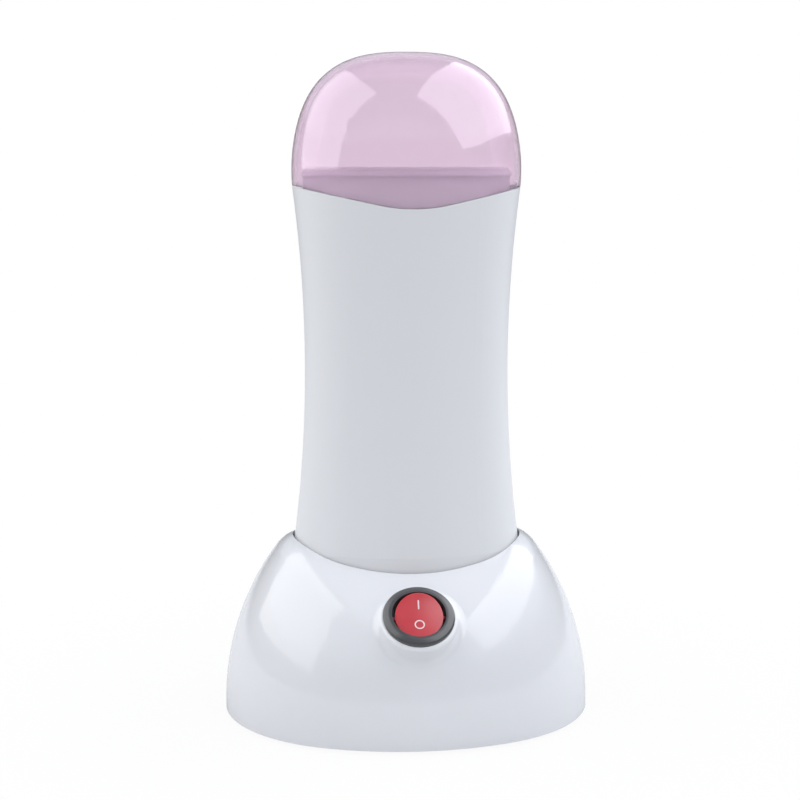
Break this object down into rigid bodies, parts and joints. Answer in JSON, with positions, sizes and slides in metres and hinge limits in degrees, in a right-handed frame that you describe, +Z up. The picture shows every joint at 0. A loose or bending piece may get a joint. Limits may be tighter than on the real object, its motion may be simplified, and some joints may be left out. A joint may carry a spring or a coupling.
{
  "type": "wax warmer",
  "caption": "Roll-on wax warmer: waisted oval handset with a lift-off domed cap, docked in an oval base with a round rocker switch.",
  "frame": {"origin": "centre of the oval base, at the surface its feet stand on", "axes": "+Z up along the handset; the switch faces -Y; +X along the long side of the base"},
  "size_m": [0.1268, 0.1069, 0.226],
  "materials": {
    "cap": "clear pink tint, polished",
    "white_shell": "satin gloss",
    "white_base": "satin gloss",
    "black_plastic": "fine matt",
    "red_rocker": "gloss",
    "chamber_metal": "drawn",
    "strap_steel": "plain",
    "screw_steel": "plain",
    "contact_brass": "plain",
    "felt": "felt",
    "fuse_body": "gloss",
    "foot_rubber": "matt",
    "live_lead": "sleeve",
    "neutral_lead": "sleeve"
  },
  "bodies": {
    "base": {"base_shell": "white_base", "base_cover": "white_base", "base_feet": "foot_rubber", "cover_screws": "screw_steel", "dock_plug": "black_plastic", "dock_contacts": "contact_brass", "dock_screws": "screw_steel", "switch_body": "black_plastic", "switch_common": "contact_brass", "switch_fixed": "contact_brass", "cord_gland": "foot_rubber", "cord_clamp": "black_plastic", "cord_clamp_screws": "screw_steel", "terminal_block": "black_plastic", "base_live_lead": "live_lead", "base_switched_lead": "live_lead", "base_neutral_lead": "neutral_lead"},
    "handset": {"handset_front_shell": "white_shell", "handset_rear_shell": "white_shell", "handset_screws": "screw_steel", "neck_collar": "white_shell", "heating_chamber": "chamber_metal", "chamber_screws": "screw_steel", "insulation_sleeve": "felt", "ptc_heater": "chamber_metal", "heater_clamp": "strap_steel", "clamp_screws": "screw_steel", "thermal_fuse": "fuse_body", "fuse_clip": "strap_steel", "handset_inlet": "black_plastic", "inlet_pins": "contact_brass", "handset_live_lead": "live_lead", "handset_fused_lead": "live_lead", "handset_neutral_lead": "neutral_lead"},
    "cap": {"cap": "cap"},
    "rocker": {"switch_rocker": "red_rocker", "rocker_plunger": "contact_brass", "rocker_spring": "strap_steel"},
    "lever": {"switch_lever": "contact_brass"}
  },
  "joints": [
    {"name": "handset_lift", "type": "slide", "parent": "base", "child": "handset", "axis": [0, 0, 1], "range_m": [0, 0.045]},
    {"name": "cap_lift", "type": "slide", "parent": "handset", "child": "cap", "axis": [0, 0, 1], "range_m": [0, 0.04]},
    {"name": "rocker_tilt", "type": "hinge", "parent": "base", "child": "rocker", "pos_m": [0, -0.04268, 0.04232], "axis": [-1, 0, 0], "range_deg": [0, 24]},
    {"name": "lever_tilt", "type": "hinge", "parent": "base", "child": "lever", "pos_m": [0, -0.03791, 0.03633], "axis": [1, 0, 0], "range_deg": [0, 16]}
  ],
  "couplings": [
    {"joint": "lever_tilt", "follows": "rocker_tilt", "ratio": 0.6666}
  ]
}
